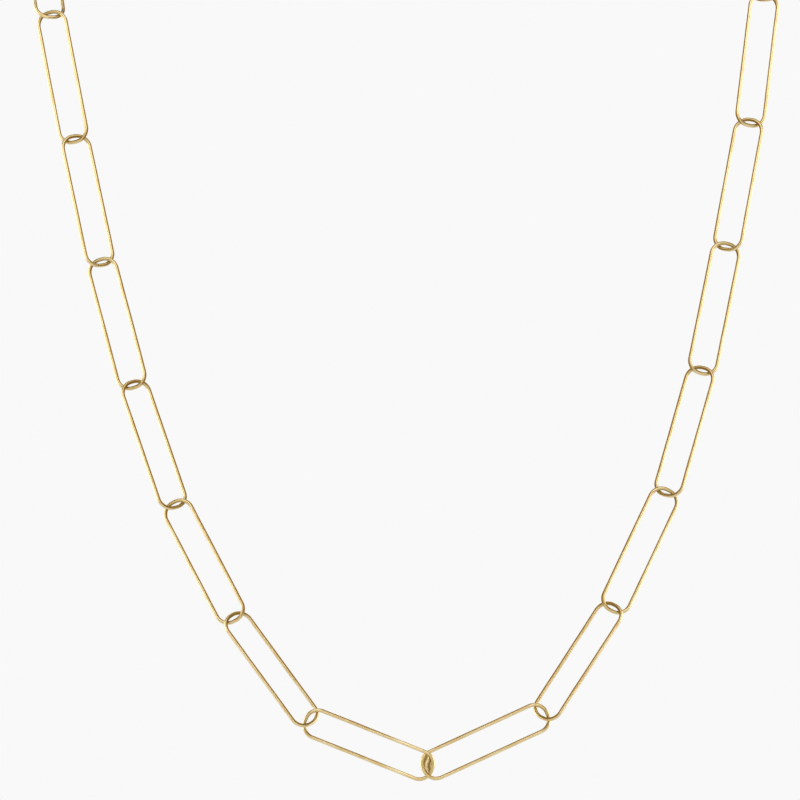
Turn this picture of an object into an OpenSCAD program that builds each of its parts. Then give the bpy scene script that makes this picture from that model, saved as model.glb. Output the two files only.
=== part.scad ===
// Paperclip chain necklace: twenty-four equal links of round wire, the two bottom ones soldered
// together, and a plain barrel clasp, in the form that it has when worn.
// Millimetres, +Z up, +X to the viewer's right, front toward -Y.
// The origin is the middle of the neck, level with the joints where the chain goes over the shoulders.

/* [Links] */
// Diameter of the round wire
wire_d = 0.54; // [0.5:0.02:0.8]
// Outer length of a link
link_l = 19.8; // [16:0.1:25]
// Outer width of a link
link_w = 4.55; // [3.8:0.05:5.6]
// Straight stretch across the middle of each end of a link
end_flat = 0.4; // [0.2:0.1:0.8]

/* [Joints] */
// How much further two neighbours reach past each other than their two wires need
joint_slack = 0.32; // [0.15:0.01:0.4]
// The same between the two bottom links
bottom_slack = 0.72; // [0.4:0.02:0.8]
// Clearance where two wires cross
wire_gap = 0.09; // [0.06:0.01:0.12]

/* [Front] */
// How far the front of the chain leans back from upright, as on a chest
lean = 13; // [0:1:30]

/* [Solder of the bottom joint] */
// Thickness of the solder that fills the space between the two bottom links' ends
solder_t = 0.44; // [0.3:0.02:0.6]

/* [Clasp] */
// Length of the barrel
barrel_l = 11; // [8:0.5:14]
// Diameter of the barrel
barrel_d = 2.8; // [2.4:0.1:3.6]
// Radius of the rounded rims of the barrel
barrel_round = 0.6; // [0.3:0.05:0.6]
// Width and depth of the seam around the middle of the barrel
seam = 0.2; // [0.1:0.05:0.3]
// Wire diameter of the two eyes
eye_wire = 0.7; // [0.5:0.05:0.9]
// Hole of an eye
eye_hole = 1.8; // [1.5:0.1:2.2]

/* [Hidden] */
// How steeply each front link hangs, from the bottom link up, in degrees in the plane of the front
left_hang = [22.2, 54.4, 62.9, 71.4, 75.4, 78.1, 79.2];
right_hang = [25.2, 57.7, 65.2, 74.4, 78.7, 79.7, 83.1];
// Share of joint_slack at each joint of the front, from the one above the bottom link up
slack_share = [1.4, 1.2, 0.8, 1, 1, 1, 0.8];
// The links from a shoulder round to the clasp, in degrees: [climb, turn toward the clasp]
back_way = [[52, -12], [36, 8], [20, 35], [8, 62], [0, 84]];
// The left shoulder joint is the lower one in the picture. Behind it the left side climbs this much
// more and the right side this much less, so that the clasp is level.
level = 0.9;
// A link is rolled about its length, so that its wires pass over and under its neighbours' wires.
// Rolls are shares of cross_turn, the least roll between neighbours, and alternate up each side.
// The two bottom links lie nearly flat, and the links above them make up for it, less with each link.
roll_swing = 0.54;
flat_bias = -0.28;
bias_fade = 0.7;
// The left bottom link is rolled this much further, in degrees, so that it passes over the right one
// at their inner crossing and under it at the outer one, half sunk into it by the solder
pair_turn = 5;

n_back = len(back_way);
n_side = n_back + len(left_hang);
n_links = n_side + len(right_hang) + n_back;
function link_name(i) = str("link_", i < 10 ? "0" : "", i);
PAIR = str("link_", n_side, "_", n_side + 1);
$fn = 48;

corner_r = (link_w - end_flat) / 2;
bend_r = corner_r - wire_d / 2;
bite = 2 * wire_d + joint_slack;
cross_half = end_flat / 2 + sqrt(pow(bend_r, 2) - pow(corner_r - bite / 2, 2));
cross_turn = asin((wire_d + wire_gap) / cross_half);
// From an end joint of the chain to the middle of the clasp's eye, and to the end of its barrel
eye_r = (eye_hole + eye_wire) / 2;
eye_at = bite / 2 - wire_d - wire_gap + eye_hole / 2;
barrel_at = eye_at + eye_hole / 2;
clasp_span = barrel_l + 2 * barrel_at;

function unit(v) = v / norm(v);
function backward(list) = [for (i = [len(list) - 1 : -1 : 0]) list[i]];
function square_to(v, way) = unit(v - (v * way) * way);

// Directions of the links along the chain, from the clasp down the left side and up the right side.
// side is -1 on the left and 1 on the right.
up_front = [0, sin(lean), cos(lean)];
function front_way(side, hang) = [cos(hang), 0, 0] + side * sin(hang) * up_front;
function shoulder_way(side, climb, turn) =
    [-cos(climb) * sin(turn), side * cos(climb) * cos(turn), side * sin(climb)];
function ways(wrap) = [
    for (row = backward(back_way)) shoulder_way(-1, row[0] + level, wrap * row[1]),
    for (hang = backward(left_hang)) front_way(-1, hang),
    for (hang = right_hang) front_way(1, hang),
    for (row = back_way) shoulder_way(1, row[0] - level, wrap * row[1])
];

// Joints between the links, the first and the last of them at the clasp
function joint_bite(j) = let (up = abs(j - n_side))
    up == 0 ? 2 * wire_d + bottom_slack
    : up > len(slack_share) ? bite
    : 2 * wire_d + joint_slack * slack_share[up - 1];
function stride(i) = link_l - (joint_bite(i) + joint_bite(i + 1)) / 2;
function trail(way) = [
    for (i = 0, p = [0, 0, 0]; i <= n_links; p = i < n_links ? p + stride(i) * way[i] : p, i = i + 1) p
];
// Gap that a wrap leaves for the clasp, negative once the two ends have passed each other
function clasp_room(way, p) = norm(p[n_links] - p[0]) * sign(p[n_links][0] - p[0][0]);
function room_at(wrap) = let (way = ways(wrap)) clasp_room(way, trail(way));
function close_wrap(low, high, tries) = let (middle = (low + high) / 2)
    tries == 0 ? middle
    : room_at(middle) > clasp_span ? close_wrap(middle, high, tries - 1)
    : close_wrap(low, middle, tries - 1);
wrap = close_wrap(0.5, 1.4, 24);
way = ways(wrap);
loose_joint = trail(way);
neck_middle = (loose_joint[n_back] + loose_joint[n_links - n_back]) / 2;
joint = [for (p = loose_joint) p - neck_middle];

// The face of each link turns with the chain, and isn't twisted along it
face_front = [0, -cos(lean), sin(lean)];
function carried(list) = [
    for (i = 0, face = square_to(face_front, list[0]);
         i < len(list);
         i = i + 1, face = i < len(list) ? square_to(face, list[i]) : face) face
];
left_ways = [for (i = [n_side - 1 : -1 : 0]) way[i]];
right_ways = [for (i = [n_side : n_links - 1]) way[i]];
face = concat(backward(carried(left_ways)), carried(right_ways));

// Steps up a side from the bottom, and the roll that a link has there
function steps_up(i) = i < n_side ? n_side - 1 - i : i - n_side;
function roll(i) = let (up = steps_up(i))
    cross_turn * (flat_bias * pow(bias_fade, up) + (up % 2 == 0 ? roll_swing : -roll_swing))
    + (i == n_side - 1 ? pair_turn : 0);

// In a bent joint the inner crossing is wider than the outer one. The second link lies this much
// further forward than the first, so that the clearance is the same at both.
function joint_step(j) = j == 0 || j == n_side || j == n_links ? 0
    : let (bend = cross(face[j - 1], way[j - 1]) * way[j])
      (link_w - joint_bite(j)) / 4 * bend * (sin(roll(j - 1)) - sin(roll(j)));

// Place of a link: [along, across, face, middle]
function link_place(i) = let (
        from = joint[i] + face[i] * joint_step(i) / 2,
        to = joint[i + 1] - face[i] * joint_step(i + 1) / 2,
        along = unit(to - from),
        flat_across = unit(cross(face[i], along)),
        flat_face = cross(along, flat_across)
    ) [
        along,
        flat_across * cos(roll(i)) + flat_face * sin(roll(i)),
        flat_face * cos(roll(i)) - flat_across * sin(roll(i)),
        from + along * (link_l - joint_bite(i)) / 2
    ];

module put(place) {
    multmatrix([for (k = [0 : 2]) [place[0][k], place[1][k], place[2][k], place[3][k]]]) children();
}

// One link, lying along X in the XY plane
module link_wire() {
    side_l = link_l - 2 * corner_r;
    for (s = [-1, 1]) {
        translate([-side_l / 2, s * (link_w - wire_d) / 2, 0])
            rotate([0, 90, 0])
                cylinder(h = side_l, d = wire_d);
        translate([s * (link_l - wire_d) / 2, end_flat / 2, 0])
            rotate([90, 0, 0])
                cylinder(h = end_flat, d = wire_d);
    }
    for (turn = [0, 180], s = [-1, 1])
        rotate([0, 0, turn])
            mirror([0, s < 0 ? 1 : 0, 0])
                translate([side_l / 2, end_flat / 2, 0])
                    rotate_extrude(angle = 90)
                        translate([bend_r, 0])
                            circle(d = wire_d);
}

module link(i) {
    color("goldenrod")
        put(link_place(i))
            link_wire();
}

// Inside of the end bend of a bottom link, as a flat disc in the plane of that link
module bend_disc(i, end) {
    put(link_place(i))
        translate([end * (link_l - link_w) / 2, 0, 0])
            cylinder(h = solder_t, d = link_w - wire_d, center = true);
}

// The two bottom links and the solder between them
module bottom_pair() {
    color("goldenrod")
        union() {
            put(link_place(n_side - 1)) link_wire();
            put(link_place(n_side)) link_wire();
            intersection() {
                bend_disc(n_side - 1, 1);
                bend_disc(n_side, -1);
            }
        }
}

module barrel() {
    rotate([0, 90, 0])
        rotate_extrude()
            difference() {
                union() {
                    translate([0, -barrel_l / 2])
                        square([barrel_d / 2 - barrel_round, barrel_l]);
                    translate([0, barrel_round - barrel_l / 2])
                        square([barrel_d / 2, barrel_l - 2 * barrel_round]);
                    for (s = [-1, 1])
                        translate([barrel_d / 2 - barrel_round, s * (barrel_l / 2 - barrel_round)])
                            circle(r = barrel_round);
                }
                translate([barrel_d / 2 - seam, -seam / 2])
                    square([2 * seam, seam]);
            }
}

// The eyes stand square to the faces of the links that they hold
module clasp() {
    along = unit(joint[0] - joint[n_links]);
    upright = square_to(face[0] + face[n_links - 1], along);
    color("goldenrod")
        put([along, upright, cross(along, upright), (joint[0] + joint[n_links]) / 2])
            union() {
                barrel();
                for (s = [-1, 1])
                    translate([s * (clasp_span / 2 - eye_at), 0, 0])
                        rotate_extrude()
                            translate([eye_r, 0])
                                circle(d = eye_wire);
            }
}

for (i = [1 : n_links])
    if (i < n_side || i > n_side + 1)
        link(i - 1);
bottom_pair();
clasp();
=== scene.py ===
# Paperclip chain necklace of polished yellow gold, hanging as it does round a neck.
import math

import bpy
import numpy as np
from mathutils import Matrix, Vector, noise


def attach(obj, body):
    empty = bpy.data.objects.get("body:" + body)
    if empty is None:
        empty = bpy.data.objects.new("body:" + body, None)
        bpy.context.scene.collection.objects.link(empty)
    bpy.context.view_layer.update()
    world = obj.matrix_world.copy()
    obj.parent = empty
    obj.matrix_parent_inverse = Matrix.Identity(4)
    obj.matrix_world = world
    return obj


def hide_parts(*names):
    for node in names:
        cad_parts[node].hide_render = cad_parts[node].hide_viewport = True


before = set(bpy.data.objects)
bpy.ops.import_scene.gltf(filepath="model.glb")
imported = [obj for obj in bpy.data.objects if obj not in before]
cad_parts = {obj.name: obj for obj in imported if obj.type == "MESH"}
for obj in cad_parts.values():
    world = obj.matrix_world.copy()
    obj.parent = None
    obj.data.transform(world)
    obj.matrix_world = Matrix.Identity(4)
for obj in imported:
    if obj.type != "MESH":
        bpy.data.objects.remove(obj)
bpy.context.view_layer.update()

# Links
# Each link is one length of round gold wire, bent to a long narrow loop round a former and soldered
# where its ends meet, in one long side. It is threaded through its neighbour before it is soldered.
BOTTOM_PAIR = "link_12_13"
LINK_NAMES = sorted(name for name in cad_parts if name.startswith("link_") and name != BOTTOM_PAIR)
WIRE_D = 0.00054
LINK_L = 0.0198
LINK_W = 0.00455
END_FLAT = 0.0004
CORNER_R = (LINK_W - END_FLAT) / 2
BEND_R = CORNER_R - WIRE_D / 2
# The swept wire's mesh, and how far and how often it wanders out of true
WIRE_SIDES = 24
RINGS_PER_SIDE = 30
RINGS_PER_BEND = 14
HAND_BEND = 0.00002
HAND_BENDS_PER_M = 260
SEED_STEP = 3.1
LIFT_NOISE_AT = Vector((0, 0, 9))
# The solder joint in a long side: its place as a share of the link, its reach and how much it swells
SOLDER_AT = 0.22
SOLDER_L = 0.0005
SOLDER_SWELL = 0.05
# Colours of the gold, its patches and dents, and its rubbing
GOLD = (0.82, 0.68, 0.38)
GOLD_PALE = (0.86, 0.74, 0.46)
GOLD_DEEP = (0.76, 0.59, 0.29)
PATCH_SCALE = 420.0
PATCH_RANGE = (0.34, 0.66)
DENT_STRENGTH = 0.12
DENT_DEPTH = 0.00004
RUB_SCALE = 2600.0
RUB_SHINE = (0.7, 1.5)
# Painted shade on the insides of the link ends, where the neighbouring links shade them: its colour, its
# reach from the end and how much of the gold it hides
JOINT_SHADE_COLOUR = (0.44, 0.30, 0.07)
JOINT_SHADE_REACH = 0.0015
JOINT_SHADE_SHARE = 0.9


def link_outline():
    """Centre line of a link in its own plane, once round, as (point, outward direction) pairs."""
    side_x = LINK_L / 2 - CORNER_R
    side_y = (LINK_W - WIRE_D) / 2
    outline = []
    for half in (1, -1):
        for k in range(1, RINGS_PER_SIDE):
            x = side_x * (2 * k / RINGS_PER_SIDE - 1)
            outline.append((Vector((-half * x, half * side_y, 0)), Vector((0, half, 0))))
        for bend in range(2):
            for k in range(RINGS_PER_BEND + 1):
                turn = math.pi / 2 * (bend + k / RINGS_PER_BEND)
                out = Vector((-half * math.sin(turn), half * math.cos(turn), 0))
                middle = Vector((-half * side_x, half * END_FLAT / 2 * (1 - 2 * bend), 0))
                outline.append((middle + out * BEND_R, out))
    return outline


def face_samples(node):
    """Middle and area of each face of a node."""
    faces = node.data.polygons
    return np.array([face.center[:] for face in faces]), np.array([face.area for face in faces])


def main_axes(middles, areas):
    """Long, cross and thin directions of a patch of surface, as rows, and its middle."""
    middle = np.average(middles, axis=0, weights=areas)
    off = middles - middle
    spread = np.einsum("i,ij,ik->jk", areas, off, off)
    return np.linalg.eigh(spread)[1][:, ::-1].T, middle


def place_matrix(along, across, middle):
    """Place of a link: X along it, Y across it, Z square to it and toward the front."""
    face = np.cross(along, across)
    if face[1] > 0:
        across, face = -across, -face
    place = Matrix.Identity(4)
    for k, column in enumerate((along, across, face, middle)):
        place.col[k][:3] = column
    return place


def link_frame(node):
    """Place of a link that is a node of its own."""
    rows, middle = main_axes(*face_samples(node))
    return place_matrix(rows[0], rows[1], middle)


def wire_mesh(name, place, seed, passes=()):
    """A link's wire: the outline swept with a round section, a little out of true, with its solder joint
    and with painted shade on the insides of its two ends, where its neighbours hook through and shade them.
    Each pass is a point where the wire goes that far toward the front, within that reach."""
    outline = link_outline()
    count = len(outline)
    verts = []
    coords = []
    joint_shade = []
    run = 0.0
    for k, (point, out) in enumerate(outline):
        noise_at = (point + Vector((seed * SEED_STEP, 0, 0))) * HAND_BENDS_PER_M
        wander = HAND_BEND * noise.noise(noise_at)
        lift = HAND_BEND * noise.noise(noise_at + LIFT_NOISE_AT)
        for at, reach, forward in passes:
            lift += forward * math.exp(-((place @ point - at).length / reach) ** 2)
        solder = math.exp(-((point.x - LINK_L * SOLDER_AT) / SOLDER_L) ** 2) if point.y > BEND_R else 0.0
        radius = WIRE_D / 2 * (1 + SOLDER_SWELL * solder)
        # Painted shade: a share of brown on the inner side of the wire near each end, where the neighbouring
        # links shade it
        near_end = math.exp(-((LINK_L / 2 - abs(point.x)) / JOINT_SHADE_REACH) ** 2)
        for j in range(WIRE_SIDES):
            turn = 2 * math.pi * j / WIRE_SIDES
            section = out * (math.cos(turn) * radius + wander)
            joint_shade.append(JOINT_SHADE_SHARE * near_end * (1 - math.cos(turn)) / 2)
            verts.append(place @ (point + section + Vector((0, 0, math.sin(turn) * radius + lift))))
        coords.append(run)
        run += (outline[(k + 1) % count][0] - point).length
    faces = []
    wrap_uv = []
    for k in range(count):
        following = (k + 1) % count
        here, there = k * WIRE_SIDES, following * WIRE_SIDES
        start, end = coords[k], coords[following] if following else run
        for j in range(WIRE_SIDES):
            side = (j + 1) % WIRE_SIDES
            faces.append((here + j, here + side, there + side, there + j))
            low, high = j / WIRE_SIDES, (j + 1) / WIRE_SIDES
            wrap_uv += [(start, low), (start, high), (end, high), (end, low)]
    mesh = bpy.data.meshes.new(name)
    mesh.from_pydata(verts, [], faces)
    layer = mesh.uv_layers.new(name="along_wire")
    for loop, (along, round_wire) in zip(layer.data, wrap_uv):
        loop.uv = (along / run, round_wire)
    mesh.attributes.new("joint_shade", "FLOAT", "POINT").data.foreach_set("value", joint_shade)
    mesh.shade_smooth()
    return mesh


def polished_gold(name, roughness=0.26):
    """Polished yellow gold: a little paler and deeper in patches, brown where painted shade is laid on it,
    and with the faint rub of wear in its shine."""
    material = bpy.data.materials.new(name)
    material.use_nodes = True
    nodes, links = material.node_tree.nodes, material.node_tree.links
    shader = nodes["Principled BSDF"]
    shader.inputs["Metallic"].default_value = 1.0
    place = nodes.new("ShaderNodeTexCoord")

    patches = nodes.new("ShaderNodeTexNoise")
    patches.inputs["Scale"].default_value = PATCH_SCALE
    patches.inputs["Detail"].default_value = 3.0
    tone = nodes.new("ShaderNodeValToRGB")
    tone.color_ramp.elements[0].position = PATCH_RANGE[0]
    tone.color_ramp.elements[0].color = (*GOLD_DEEP, 1)
    tone.color_ramp.elements[1].position = PATCH_RANGE[1]
    tone.color_ramp.elements[1].color = (*GOLD_PALE, 1)
    middle = tone.color_ramp.elements.new(0.5)
    middle.color = (*GOLD, 1)
    links.new(place.outputs["Object"], patches.inputs["Vector"])
    links.new(patches.outputs["Fac"], tone.inputs["Fac"])
    # Painted shade: the base colour turns toward brown by the painted shade share the mesh carries
    joint_shade_amount = nodes.new("ShaderNodeAttribute")
    joint_shade_amount.attribute_name = "joint_shade"
    shade_mix = nodes.new("ShaderNodeMix")
    shade_mix.data_type = "RGBA"
    shade_mix.inputs["B"].default_value = (*JOINT_SHADE_COLOUR, 1)
    links.new(joint_shade_amount.outputs["Fac"], shade_mix.inputs["Factor"])
    links.new(tone.outputs["Color"], shade_mix.inputs["A"])
    links.new(shade_mix.outputs["Result"], shader.inputs["Base Color"])

    rub = nodes.new("ShaderNodeTexNoise")
    rub.inputs["Scale"].default_value = RUB_SCALE
    rub.inputs["Detail"].default_value = 4.0
    shine = nodes.new("ShaderNodeMapRange")
    shine.inputs["To Min"].default_value = roughness * RUB_SHINE[0]
    shine.inputs["To Max"].default_value = roughness * RUB_SHINE[1]
    links.new(place.outputs["Object"], rub.inputs["Vector"])
    links.new(rub.outputs["Fac"], shine.inputs["Value"])
    links.new(shine.outputs["Result"], shader.inputs["Roughness"])

    dents = nodes.new("ShaderNodeBump")
    dents.inputs["Strength"].default_value = DENT_STRENGTH
    dents.inputs["Distance"].default_value = DENT_DEPTH
    links.new(patches.outputs["Fac"], dents.inputs["Height"])
    links.new(dents.outputs["Normal"], shader.inputs["Normal"])
    return material


def add_piece(name, mesh, material, node):
    """A gold piece that stands for a node."""
    piece = bpy.data.objects.new(name, mesh)
    bpy.context.scene.collection.objects.link(piece)
    mesh.materials.append(material)
    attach(piece, "root")
    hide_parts(node)


wire_gold = polished_gold("polished_gold_wire")
for number, name in enumerate(LINK_NAMES):
    wire = wire_mesh(f"wire_{name}", link_frame(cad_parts[name]), number)
    add_piece(f"wire_{name}", wire, wire_gold, name)

# Bottom links
# The two links at the lowest point are wire links like the rest, hooked through each other. Their ends
# are sunk into each other where they cross, and the almond between them is filled with gold solder.
BOTTOM_SEED = 40
# Length of each one that is clear of the joint
CLEAR_L = 0.0155
# How far a wire steps forward or back where it crosses the other, and within what reach
CROSSING_STEP = 0.00012
CROSSING_REACH = 0.0009


def soldered_link_frame(node, side):
    """Place of the left (-1) or right (1) bottom link, from the stretch of it that is clear of the joint."""
    middles, areas = face_samples(node)
    corners = np.array([v.co[:] for v in node.data.vertices])
    along = np.array((side, 0.0, 0.0))
    # The stretch and its direction depend on each other, and settle in a few rounds
    for _ in range(8):
        run = middles @ along
        clear = run > run.max() - CLEAR_L
        rows, middle = main_axes(middles[clear], areas[clear])
        along = rows[0] * np.sign(rows[0] @ along)
    to_end = (corners @ along).max() - middle @ along
    return place_matrix(along, rows[1], middle + along * (to_end - LINK_L / 2))


pair_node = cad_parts[BOTTOM_PAIR]
pair_places = {side: soldered_link_frame(pair_node, side) for side in (-1, 1)}
# Middle of each one's bend at the joint, and the two points where the wires cross
bend_at = {side: place @ Vector((LINK_W / 2 - LINK_L / 2, 0, 0)) for side, place in pair_places.items()}
joint_at = (bend_at[-1] + bend_at[1]) / 2
apart = bend_at[-1] - bend_at[1]
bend_mid_r = (LINK_W - WIRE_D) / 2
crossing_r = math.sqrt(bend_mid_r ** 2 - (apart.length / 2) ** 2)
joint_face = (pair_places[-1].col[2].xyz + pair_places[1].col[2].xyz).normalized()
joint_up = joint_face.cross(apart.normalized())
if joint_up.z < 0:
    joint_up.negate()
for side, place in pair_places.items():
    forward = CROSSING_STEP * -side
    passes = [
        (joint_at + joint_up * crossing_r, CROSSING_REACH, forward),
        (joint_at - joint_up * crossing_r, CROSSING_REACH, -forward),
    ]
    label = "left" if side < 0 else "right"
    wire = wire_mesh(f"wire_bottom_{label}", place, BOTTOM_SEED + side, passes)
    add_piece(f"wire_bottom_{label}", wire, wire_gold, BOTTOM_PAIR)

SOLDER_T = 0.00044
SOLDER_ROWS = 72
SOLDER_COLUMNS = 36
# Thickness at the rim and in the middle, as shares of SOLDER_T
RIM_SHARE = 0.25
DOME_SHARE = 0.85
# A raised streak winds up the solder, with a bead at its right side and small pits all over it. Their
# places and sizes are shares of the almond's half width and half height.
RELIEF_H = 0.00005
STREAK_SWING = 0.30
STREAK_WINDS = 3.6
STREAK_START = -0.9
STREAK_MIDDLE = -0.05
STREAK_W = 0.28
BEAD_SHARE = 0.5
BEAD_AT = (0.62, -0.1)
BEAD_SIZE = (0.16, 0.5)
PIT_SHARE = 0.35
PITS_UP = 4
PITS_ACROSS = 2.5
# Painted shade and highlight on the solder: how fast the painted shade deepens away from the relief and
# toward the rim, where the gold turns to the brown shade, and the brown painted shade and paler painted
# highlight colours
SHADE_AWAY_FROM_RELIEF = 1.2
RIM_SHADE = 0.5
SOLDER_SHADE_RANGE = (0.15, 0.9)
SOLDER_SHADE_COLOUR = (0.34, 0.23, 0.08)
SOLDER_HIGHLIGHT_COLOUR = (0.90, 0.74, 0.42)


def solder_height(up, across):
    """Height of the solder above the joint's middle plane, and how much painted shade its colour gets (0 to
    1), most in its hollows and toward its rim.
    up and across run from -1 to 1 over the almond."""
    pillow = math.sqrt(max(0.0, (1 - across ** 2) * (1 - up ** 2)))
    streak_at = STREAK_SWING * math.sin(STREAK_WINDS * up + STREAK_START) + STREAK_MIDDLE
    streak = math.exp(-((across - streak_at) / STREAK_W) ** 2)
    off_bead = ((across - BEAD_AT[0]) / BEAD_SIZE[0]) ** 2 + ((up - BEAD_AT[1]) / BEAD_SIZE[1]) ** 2
    bead = BEAD_SHARE * math.exp(-off_bead)
    pits = PIT_SHARE * noise.noise(Vector((up * PITS_UP, across * PITS_ACROSS, 2)))
    relief = streak + bead + pits
    height = SOLDER_T / 2 * (RIM_SHARE + (DOME_SHARE - RIM_SHARE) * pillow) + RELIEF_H * relief * pillow
    # Painted shade share: more where the relief is low and toward the rim, where the dome falls away
    return height, min(1.0, max(0.0, 1 - relief * SHADE_AWAY_FROM_RELIEF) + RIM_SHADE * (1 - pillow))


def solder_mesh(name):
    """The almond between the bottom links' ends, domed front and back, its rim inside their wires."""
    across_way = apart.normalized() * (1 if apart.x > 0 else -1)
    half_apart = apart.length / 2
    verts = []
    depth = []
    for front in (1, -1):
        for i in range(SOLDER_ROWS + 1):
            up = math.sin(math.pi / 2 * (2 * i / SOLDER_ROWS - 1))
            half_w = math.sqrt(max(0.0, bend_mid_r ** 2 - (up * crossing_r) ** 2)) - half_apart
            for j in range(SOLDER_COLUMNS + 1):
                across = 2 * j / SOLDER_COLUMNS - 1
                # Each point keeps the painted shade share for its colour besides its height
                height, solder_shade = solder_height(up, across)
                flat = joint_at + joint_up * (up * crossing_r) + across_way * (across * half_w)
                verts.append(flat + joint_face * (front * height))
                depth.append(solder_shade)
    faces = []
    stride = SOLDER_COLUMNS + 1
    sheet = (SOLDER_ROWS + 1) * stride
    for i in range(SOLDER_ROWS):
        for j in range(SOLDER_COLUMNS):
            a = i * stride + j
            quad = (a, a + 1, a + stride + 1, a + stride)
            faces.append(quad)
            faces.append(tuple(sheet + k for k in reversed(quad)))
    for j in range(SOLDER_COLUMNS):
        for row, flip in ((0, False), (SOLDER_ROWS, True)):
            a = row * stride + j
            quad = (a, sheet + a, sheet + a + 1, a + 1)
            faces.append(tuple(reversed(quad)) if flip else quad)
    for i in range(SOLDER_ROWS):
        for column, flip in ((0, True), (SOLDER_COLUMNS, False)):
            a = i * stride + column
            quad = (a, sheet + a, sheet + a + stride, a + stride)
            faces.append(tuple(reversed(quad)) if flip else quad)
    mesh = bpy.data.meshes.new(name)
    mesh.from_pydata(verts, [], faces)
    mesh.attributes.new("solder_shade", "FLOAT", "POINT").data.foreach_set("value", depth)
    mesh.shade_smooth()
    return mesh


# The solder's colour is painted light: brown painted shade in its hollows and toward its rim, and a paler
# painted highlight on its raised streak and bead
solder_gold = polished_gold("solder_gold")
solder_nodes, solder_links = solder_gold.node_tree.nodes, solder_gold.node_tree.links
solder_shade = solder_nodes.new("ShaderNodeAttribute")
solder_shade.attribute_name = "solder_shade"
solder_tone = solder_nodes.new("ShaderNodeValToRGB")
solder_tone.color_ramp.elements[0].position = SOLDER_SHADE_RANGE[0]
solder_tone.color_ramp.elements[0].color = (*SOLDER_HIGHLIGHT_COLOUR, 1)
solder_tone.color_ramp.elements[1].position = SOLDER_SHADE_RANGE[1]
solder_tone.color_ramp.elements[1].color = (*SOLDER_SHADE_COLOUR, 1)
solder_links.new(solder_shade.outputs["Fac"], solder_tone.inputs["Fac"])
solder_links.new(solder_tone.outputs["Color"], solder_nodes["Principled BSDF"].inputs["Base Color"])
add_piece("solder_fill", solder_mesh("solder_fill"), solder_gold, BOTTOM_PAIR)

# Clasp
# A closed barrel clasp turned from gold rod, in two halves that screw together, with a ring eye at
# each end that holds the chain's end link. It lies at the nape and is out of the photograph.
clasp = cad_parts["clasp"]
clasp_gold = polished_gold("polished_gold_clasp", roughness=0.16)
clasp.data.materials.clear()
clasp.data.materials.append(clasp_gold)

# Studio
# A pale floor well below the hanging chain, and soft boxes around it in a warm dim room with a white
# back wall. A dull warm card stands upright between the chain's two sides, unseen by the camera, and
# keeps each side's inner edges deeper than its outer ones. The camera is level with the front, far off.
CAMERA_AWAY = 4.0
SENSOR_W = 36.0
# The picture's side and scale, and where the origin shows in it
PICTURE_PX = 800
PIXELS_PER_MM = 7.035
ORIGIN_PX = (407.8, 6.3)
FLOOR_Z = -0.24
FLOOR_R = 1.5
FLOOR_COLOUR = (0.1, 0.1, 0.1)
# The floor's glow under the chain, and how far out it begins to rise to the backdrop's tone
FLOOR_GLOW = 0.72
FLOOR_EVEN_R = 0.25
CARD_REACH = 0.3
CARD_LOW = -0.095
CARD_TOP = 0.025
CARD_COLOUR = (0.28, 0.18, 0.05)
BACKDROP = (0.945, 0.945, 0.945)
ROOM = (0.20, 0.14, 0.06)
BACK_WALL = (0.9, 0.9, 0.9)
LIT_MIDDLE = Vector((0, -0.012, -0.05))
BOX_AWAY = 0.6
BOX_SIDE = 0.75


def plain_sheet(name, corners, colour):
    """A flat matt sheet that belongs to the studio."""
    mesh = bpy.data.meshes.new(name)
    mesh.from_pydata(corners, [], [tuple(range(len(corners)))])
    sheet = bpy.data.objects.new(name, mesh)
    bpy.context.scene.collection.objects.link(sheet)
    finish = bpy.data.materials.new(name)
    finish.use_nodes = True
    finish.node_tree.nodes["Principled BSDF"].inputs["Base Color"].default_value = (*colour, 1)
    finish.node_tree.nodes["Principled BSDF"].inputs["Roughness"].default_value = 0.9
    mesh.materials.append(finish)
    return sheet


around = np.linspace(0, 2 * math.pi, 97)[:-1]
floor_ring = [(math.cos(a) * FLOOR_R, math.sin(a) * FLOOR_R, FLOOR_Z) for a in around]
floor = plain_sheet("floor", floor_ring, FLOOR_COLOUR)
floor_nodes, floor_links = floor.active_material.node_tree.nodes, floor.active_material.node_tree.links
# It glows as pale as the backdrop at its edge, so that the edge hardly shows
floor_place = floor_nodes.new("ShaderNodeTexCoord")
from_middle = floor_nodes.new("ShaderNodeVectorMath")
from_middle.operation = "LENGTH"
floor_tone = floor_nodes.new("ShaderNodeMapRange")
floor_tone.inputs["From Min"].default_value = FLOOR_EVEN_R
floor_tone.inputs["From Max"].default_value = FLOOR_R
floor_tone.inputs["To Min"].default_value = FLOOR_GLOW
floor_tone.inputs["To Max"].default_value = BACKDROP[0]
floor_nodes["Principled BSDF"].inputs["Emission Color"].default_value = (1, 1, 1, 1)
floor_links.new(floor_place.outputs["Object"], from_middle.inputs[0])
floor_links.new(from_middle.outputs["Value"], floor_tone.inputs["Value"])
floor_links.new(floor_tone.outputs["Result"], floor_nodes["Principled BSDF"].inputs["Emission Strength"])
card_outline = [
    (0, -CARD_REACH, CARD_LOW),
    (0, CARD_REACH, CARD_LOW),
    (0, CARD_REACH, CARD_TOP),
    (0, -CARD_REACH, CARD_TOP),
]
plain_sheet("dull_card", card_outline, CARD_COLOUR).visible_camera = False

world = bpy.data.worlds.new("warm_room")
bpy.context.scene.world = world
world.use_nodes = True
sky, wires = world.node_tree.nodes, world.node_tree.links
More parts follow.
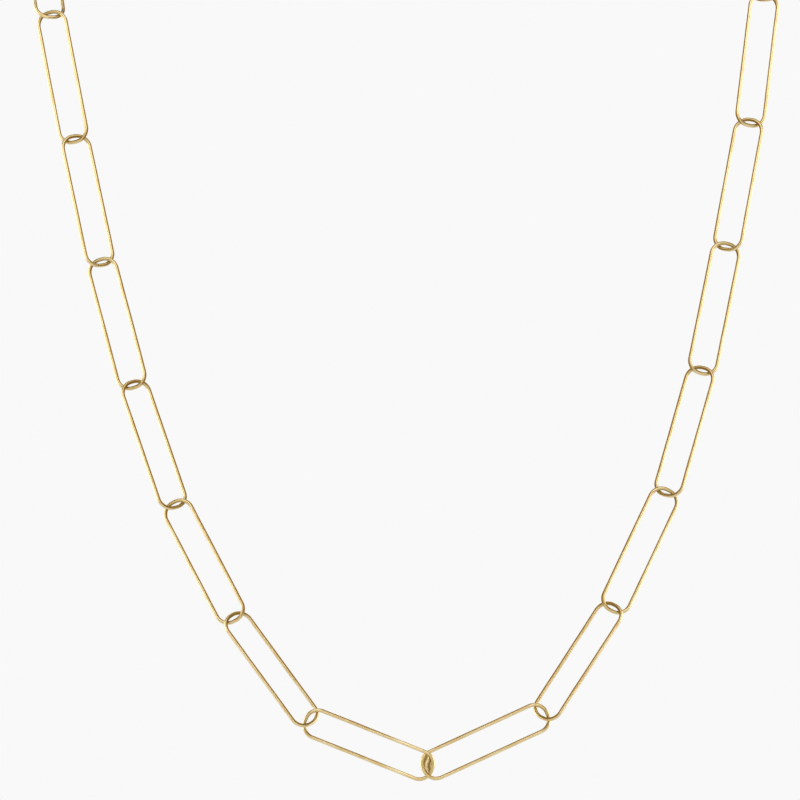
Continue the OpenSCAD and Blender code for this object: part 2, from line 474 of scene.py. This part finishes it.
# The metal mirrors the warm room and its white back wall, and the camera sees the plain backdrop
room_light = sky["Background"]
direction = sky.new("ShaderNodeTexCoord")
sides = sky.new("ShaderNodeSeparateXYZ")
toward_back = sky.new("ShaderNodeValToRGB")
toward_back.color_ramp.interpolation = "EASE"
toward_back.color_ramp.elements[0].color = (*ROOM, 1)
toward_back.color_ramp.elements[1].color = (*BACK_WALL, 1)
wires.new(direction.outputs["Generated"], sides.inputs["Vector"])
wires.new(sides.outputs["Y"], toward_back.inputs["Fac"])
wires.new(toward_back.outputs["Color"], room_light.inputs["Color"])
backdrop = sky.new("ShaderNodeBackground")
backdrop.inputs["Color"].default_value = (*BACKDROP, 1)
seen = sky.new("ShaderNodeLightPath")
either = sky.new("ShaderNodeMixShader")
wires.new(seen.outputs["Is Camera Ray"], either.inputs["Fac"])
wires.new(room_light.outputs["Background"], either.inputs[1])
wires.new(backdrop.outputs["Background"], either.inputs[2])
wires.new(either.outputs["Shader"], sky["World Output"].inputs["Surface"])


def soft_box(name, azimuth, elevation, power):
    """A square soft light round the chain: azimuth 0 is the camera's side and 90 the right, in degrees."""
    turn, rise = math.radians(azimuth), math.radians(elevation)
    way = Vector((math.sin(turn) * math.cos(rise), -math.cos(turn) * math.cos(rise), math.sin(rise)))
    lamp = bpy.data.lights.new(name, "AREA")
    lamp.shape = "SQUARE"
    lamp.size = BOX_SIDE
    lamp.energy = power
    box = bpy.data.objects.new(name, lamp)
    box.location = LIT_MIDDLE + way * BOX_AWAY
    box.rotation_euler = (-way).to_track_quat("-Z", "Y").to_euler()
    bpy.context.scene.collection.objects.link(box)


soft_box("left_box", -90, 0, 3.5)
soft_box("right_box", 90, 0, 3.5)
soft_box("front_box", 0, 8, 0.7)
soft_box("top_front_box", 0, 45, 2.0)

camera = bpy.data.objects.new("camera", bpy.data.cameras.new("camera"))
bpy.context.scene.collection.objects.link(camera)
bpy.context.scene.camera = camera
metres_per_px = 0.001 / PIXELS_PER_MM
camera.data.sensor_width = SENSOR_W
camera.data.lens = SENSOR_W * CAMERA_AWAY / (PICTURE_PX * metres_per_px)
camera.data.clip_end = 5 * CAMERA_AWAY
view_x = (PICTURE_PX / 2 - ORIGIN_PX[0]) * metres_per_px
view_z = (ORIGIN_PX[1] - PICTURE_PX / 2) * metres_per_px
camera.location = (view_x, -CAMERA_AWAY, view_z)
camera.rotation_euler = (math.pi / 2, 0, 0)

bpy.context.scene.view_settings.view_transform = "Standard"
